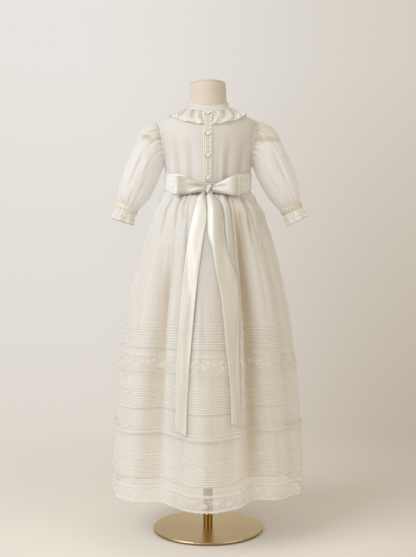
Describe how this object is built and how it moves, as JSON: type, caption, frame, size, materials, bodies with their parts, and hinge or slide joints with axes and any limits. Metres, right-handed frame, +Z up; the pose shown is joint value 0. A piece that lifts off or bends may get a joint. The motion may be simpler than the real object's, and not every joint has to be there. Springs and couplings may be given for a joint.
{
  "type": "christening gown on a limbless dress form with stand",
  "caption": "Long-sleeved sheer baby gown with frill collar, buttoned back, satin bow, pintucked skirt and lace hem, on a limbless dress form with a pole and a round base.",
  "frame": {"origin": "centre of the underside of the round base, which stands on the floor or table", "axes": "+Z up, +Y towards the buttoned back with the bow, +X towards the wearer's left"},
  "size_m": [0.4125, 0.3498, 0.92],
  "materials": {
    "organza": "sheer crisp silk organza, off-white",
    "lace": "fine embroidered net lace, off-white",
    "lining": "thin plain lining, warm white",
    "satin": "soft ivory satin ribbon",
    "pearl": "pearl",
    "linen": "smooth beige linen over the form",
    "brass": "brushed on the base, polished on the pole"
  },
  "bodies": {
    "root": {"bodice_front": "organza", "bodice_back_left": "organza", "bodice_back_right": "organza", "back_placket": "organza", "button_1": "pearl", "button_2": "pearl", "button_3": "pearl", "button_4": "pearl", "neck_band": "organza", "collar_left": "lace", "collar_right": "lace", "sleeve_left": "organza", "sleeve_right": "organza", "wristband_left": "lace", "wristband_right": "lace", "cuff_frill_left": "lace", "cuff_frill_right": "lace", "sash_band": "satin", "bow_loop_left": "satin", "bow_loop_right": "satin", "bow_knot": "satin", "bow_tail_left": "satin", "bow_tail_right": "satin", "skirt_upper": "organza", "lace_insertion": "lace", "skirt_middle": "organza", "tier_ribbon": "satin", "skirt_lower": "organza", "hem_lace": "lace", "underskirt": "lining", "dress_form": "linen", "stand_pole": "brass", "stand_base": "brass"}
  },
  "joints": []
}
